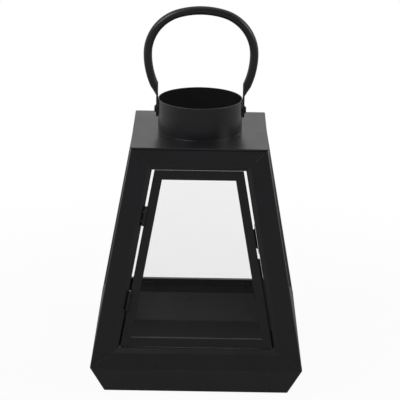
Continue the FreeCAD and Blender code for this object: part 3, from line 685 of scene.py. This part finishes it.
def grow_bead(shape, start, end, radius, pitch):
    """A weld bead from start to end: a small round bar whose girth swells and shrinks at each ripple."""
    along = end - start
    steps = max(2, round(along.length / pitch))
    place = Matrix.Translation(start) @ along.to_track_quat("Z", "Y").to_matrix().to_4x4()
    ring = bmesh.ops.create_circle(shape, cap_ends=True, segments=BEAD_SIDES, radius=radius, matrix=place)
    face = ring["verts"][0].link_faces[0]
    for step in range(1, steps + 1):
        middle = start + along * (step / steps)
        grown = bmesh.ops.extrude_face_region(shape, geom=[face])["geom"]
        # The first face closes the bead's start, and each later one would stay hidden inside the bead
        if step > 1:
            bmesh.ops.delete(shape, geom=[face], context="FACES_ONLY")
        face = next(item for item in grown if isinstance(item, bmesh.types.BMFace))
        girth = radius * (1 + BEAD_RIPPLE * noise.noise(middle / pitch))
        for vert in face.verts:
            offset = vert.co - (start + along * ((step - 1) / steps))
            vert.co = middle + offset.normalized() * girth


def finish_bead(shape):
    """Joins the doubles, turns every face outwards and shades it smooth."""
    bmesh.ops.remove_doubles(shape, verts=shape.verts, dist=MERGE_DISTANCE)
    bmesh.ops.recalc_face_normals(shape, faces=shape.faces)
    for face in shape.faces:
        face.smooth = True


def mitre_ends(node):
    """Two points near the ends of each slanting edge of a rail's broad face, where it meets a post."""
    shape = merged_copy(node)
    ends = []
    for edge in broadest_face(shape).edges:
        first, second = (vert.co.copy() for vert in edge.verts)
        if abs(first.z - second.z) > LEVEL_TOLERANCE:
            trim = (second - first).normalized() * SEAM_TRIM
            ends.append((first + trim, second - trim))
    shape.free()
    return ends


def mitre_seams(weld):
    """A thin bead along every mitre between a rail and a post."""
    seams = bmesh.new()
    for side in RAIL_SIDES:
        for rail in RAILS:
            for start, end in mitre_ends(f"{rail}_{side}"):
                grow_bead(seams, start, end, weld.seam_radius, weld.pitch)
    finish_bead(seams)
    return seams


def collar_bead(weld):
    """A bead of uneven tacks round the collar's foot, and a thin seam up its back."""
    low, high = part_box("collar")
    radius = high.x
    bead = bmesh.new()
    bmesh.ops.create_circle(
        bead,
        segments=BEAD_SIDES,
        radius=weld.foot_radius,
        matrix=Matrix.Translation((radius, 0, low.z)) @ Matrix.Rotation(math.pi / 2, 4, "X"),
    )
    bmesh.ops.spin(
        bead,
        geom=bead.verts[:] + bead.edges[:],
        cent=(0, 0, 0),
        axis=(0, 0, 1),
        angle=2 * math.pi,
        steps=FOOT_STEPS,
        use_merge=True,
    )
    for vert in bead.verts:
        middle = Vector((vert.co.x, vert.co.y, 0)).normalized() * radius + Vector((0, 0, low.z))
        tack = noise.noise(middle / weld.tack_spacing)
        vert.co = middle + (vert.co - middle) * max(TACK_LEAST, TACK_MEAN + tack)
    seam_foot = Vector((0, radius, low.z))
    seam_top = Vector((0, radius, high.z))
    grow_bead(bead, seam_foot, seam_top, weld.seam_radius, weld.pitch)
    finish_bead(bead)
    return bead


class LANTERN_OT_lay_welds(bpy.types.Operator):
    """Lays the weld beads at the mitres, round the collar's foot and up its back, with the handle's coat"""

    bl_idname = "lantern.lay_welds"
    bl_label = "Lay the welds"

    def execute(self, context):
        weld = context.scene.lantern_weld
        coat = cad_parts["handle"].data.materials[0]
        add_piece("mitre_weld_seams", mitre_seams(weld), "lantern", "black_steel", coat)
        add_piece("collar_weld_bead", collar_bead(weld), "lantern", "black_steel", coat)
        return {"FINISHED"}


# Studio


def background_share(tree):
    """Two shares, 0 or 1: rays from the camera, straight or through glass, and rays from a mirror.

    A ray through glass counts as both, so the white that the camera sees is mixed in last.
    """
    path = add_node(tree, "ShaderNodeLightPath").outputs
    bounces = add_node(
        tree, "ShaderNodeMath", {0: path["Glossy Depth"], 1: path["Diffuse Depth"]}, operation="ADD"
    ).outputs["Value"]
    straight = add_node(
        tree, "ShaderNodeMath", {0: bounces, 1: 0.5}, operation="LESS_THAN"
    ).outputs["Value"]
    through = add_node(
        tree, "ShaderNodeMath", {0: path["Is Transmission Ray"], 1: straight}, operation="MULTIPLY"
    ).outputs["Value"]
    seen = add_node(
        tree, "ShaderNodeMath", {0: path["Is Camera Ray"], 1: through}, operation="MAXIMUM"
    ).outputs["Value"]
    mirrored = add_node(
        tree, "ShaderNodeMath", {0: path["Glossy Depth"], 1: path["Is Glossy Ray"]}, operation="MAXIMUM"
    ).outputs["Value"]
    shone = add_node(
        tree, "ShaderNodeMath", {0: mirrored, 1: 1.0}, operation="MINIMUM"
    ).outputs["Value"]
    return seen, shone


def white_floor(stage):
    """Matt white paper that glows, most at its rim, shows a faint shadow, and is dim in a mirror."""
    material, tree, place = new_material("matt_white_paper")
    fibre = add_node(tree, "ShaderNodeTexNoise", {"Vector": place, "Scale": 1 / FIBRE_WIDTH}).outputs["Fac"]
    colour = add_node(
        tree,
        "ShaderNodeMix",
        {"Factor": fibre, COLOUR_A: stage.floor, COLOUR_B: stage.floor_pale},
        data_type="RGBA",
    ).outputs[COLOUR_OUT]
    paper = add_node(tree, "ShaderNodeBsdfDiffuse", {"Color": colour}).outputs["BSDF"]
    glow = add_node(tree, "ShaderNodeEmission", {"Strength": 1.0}).outputs["Emission"]
    shine = add_node(tree, "ShaderNodeEmission", {"Strength": stage.floor_shine}).outputs["Emission"]
    seen, shone = background_share(tree)
    away = add_node(tree, "ShaderNodeVectorMath", {0: place}, operation="LENGTH").outputs["Value"]
    camera_glow = add_node(
        tree,
        "ShaderNodeMapRange",
        {
            "Value": away,
            "From Min": GLOW_START * stage.floor_radius,
            "From Max": GLOW_END * stage.floor_radius,
            "To Min": stage.floor_glow,
            "To Max": 1.0,
        },
        interpolation_type="SMOOTHSTEP",
    ).outputs["Result"]
    share = add_node(
        tree, "ShaderNodeMath", {0: seen, 1: camera_glow}, operation="MULTIPLY"
    ).outputs["Value"]
    dimmed = add_node(tree, "ShaderNodeMixShader", {0: shone, 1: paper, 2: shine}).outputs["Shader"]
    mixed = add_node(tree, "ShaderNodeMixShader", {0: share, 1: dimmed, 2: glow}).outputs["Shader"]
    add_node(tree, "ShaderNodeOutputMaterial", {"Surface": mixed})
    return material


def light_world(stage):
    """Even light on the lantern, and white where the camera looks past the floor.

    Mirrors see a room that is pale behind and dark in front, over a paler far floor.
    """
    world = bpy.data.worlds.new("studio")
    world.use_nodes = True
    tree = world.node_tree
    tree.nodes.clear()
    way = add_node(tree, "ShaderNodeTexCoord").outputs["Generated"]
    parts = add_node(tree, "ShaderNodeSeparateXYZ", {"Vector": way}).outputs
    front = add_node(
        tree,
        "ShaderNodeMapRange",
        {
            "Value": parts["Z"],
            "From Min": -0.12,
            "From Max": 0.0,
            "To Min": stage.far_level,
            "To Max": stage.front_level,
        },
        interpolation_type="SMOOTHSTEP",
    ).outputs["Result"]
    room_level = 1.0
    # Each row takes the level from low to high while the ray's own part along the axis goes from start to end
    for axis, start, end, low, high in (
        ("Y", -0.7, 0.25, front, stage.back_level),
        ("Z", -0.35, -0.1, stage.low_level, 1.0),
        ("X", 0.2, 0.9, 1.0, stage.right_level),
    ):
        level = add_node(
            tree,
            "ShaderNodeMapRange",
            {"Value": parts[axis], "From Min": start, "From Max": end, "To Min": low, "To Max": high},
            interpolation_type="SMOOTHSTEP",
        ).outputs["Result"]
        room_level = add_node(
            tree, "ShaderNodeMath", {0: room_level, 1: level}, operation="MULTIPLY"
        ).outputs["Value"]
    seen, shone = background_share(tree)
    ambient = add_node(tree, "ShaderNodeBackground", {"Strength": stage.ambient}).outputs["Background"]
    room = add_node(
        tree, "ShaderNodeBackground", {"Color": (1, 1, 1, 1), "Strength": room_level}
    ).outputs["Background"]
    white = add_node(
        tree, "ShaderNodeBackground", {"Color": (1, 1, 1, 1), "Strength": 1.0}
    ).outputs["Background"]
    lit = add_node(tree, "ShaderNodeMixShader", {0: shone, 1: ambient, 2: room}).outputs["Shader"]
    mixed = add_node(tree, "ShaderNodeMixShader", {0: seen, 1: lit, 2: white}).outputs["Shader"]
    add_node(tree, "ShaderNodeOutputWorld", {"Surface": mixed})
    bpy.context.scene.world = world


def add_softbox(name, place, size, power):
    """A square soft light at a place, turned towards the lantern."""
    lamp = bpy.data.lights.new(name, "AREA")
    lamp.shape = "SQUARE"
    lamp.size = size
    lamp.energy = power
    light = bpy.data.objects.new(name, lamp)
    light.location = place
    light.rotation_euler = (Vector(LIGHT_AIM) - Vector(place)).to_track_quat("-Z", "Y").to_euler()
    bpy.context.scene.collection.objects.link(light)


def add_camera(stage):
    """The camera at the photograph's viewing angle."""
    lens = bpy.data.cameras.new("camera")
    lens.lens = stage.lens
    lens.sensor_width = SENSOR_WIDTH
    lens.clip_end = VIEW_DEPTH
    camera = bpy.data.objects.new("camera", lens)
    turned = (
        Matrix.Rotation(-stage.camera_yaw, 4, "Z")
        @ Matrix.Rotation(math.pi / 2 - stage.camera_pitch, 4, "X")
        @ Matrix.Rotation(stage.camera_roll, 4, "Z")
    )
    camera.matrix_world = Matrix.Translation(stage.camera_place) @ turned
    bpy.context.scene.collection.objects.link(camera)
    bpy.context.scene.camera = camera


class LANTERN_OT_set_stage(bpy.types.Operator):
    """Lays the white floor, hangs the lights and places the camera"""

    bl_idname = "lantern.set_stage"
    bl_label = "Set the stage"

    def execute(self, context):
        stage = context.scene.lantern_stage
        shape = bmesh.new()
        bmesh.ops.create_circle(shape, cap_ends=True, segments=FLOOR_SIDES, radius=stage.floor_radius)
        floor = add_mesh("floor", shape, white_floor(stage))
        light_world(stage)
        add_softbox("key_softbox", KEY_PLACE, KEY_SIZE, stage.key_power)
        add_softbox("fill_softbox", FILL_PLACE, FILL_SIZE, stage.fill_power)
        add_camera(stage)
        context.scene.view_settings.view_transform = "Standard"
        return {"FINISHED"}


# Panel and registration


class LANTERN_PT_steps(bpy.types.Panel):
    """Lists the steps and their values"""

    bl_label = "Candle lantern"
    bl_space_type = "VIEW_3D"
    bl_region_type = "UI"
    bl_category = "Lantern"

    def draw(self, context):
        for operator in OPERATORS:
            self.layout.operator(operator.bl_idname)
        for group in GROUPS:
            values = getattr(context.scene, group)
            for name in values.bl_rna.properties.keys():
                if name not in ("rna_type", "name"):
                    self.layout.prop(values, name)


GROUPS = {
    "lantern_paint": LanternPaint,
    "lantern_glass": LanternGlass,
    "lantern_weld": LanternWeld,
    "lantern_stage": LanternStage,
}
OPERATORS = (LANTERN_OT_coat_steel, LANTERN_OT_cut_panes, LANTERN_OT_lay_welds, LANTERN_OT_set_stage)
CLASSES = (*GROUPS.values(), *OPERATORS, LANTERN_PT_steps)


def register():
    for item in CLASSES:
        bpy.utils.register_class(item)
    for name, group in GROUPS.items():
        setattr(bpy.types.Scene, name, bpy.props.PointerProperty(type=group))


def unregister():
    for name in GROUPS:
        delattr(bpy.types.Scene, name)
    for item in reversed(CLASSES):
        bpy.utils.unregister_class(item)


def main():
    register()
    bpy.ops.lantern.coat_steel()
    bpy.ops.lantern.cut_panes()
    bpy.ops.lantern.lay_welds()
    bpy.ops.lantern.set_stage()


if __name__ == "__main__":
    main()
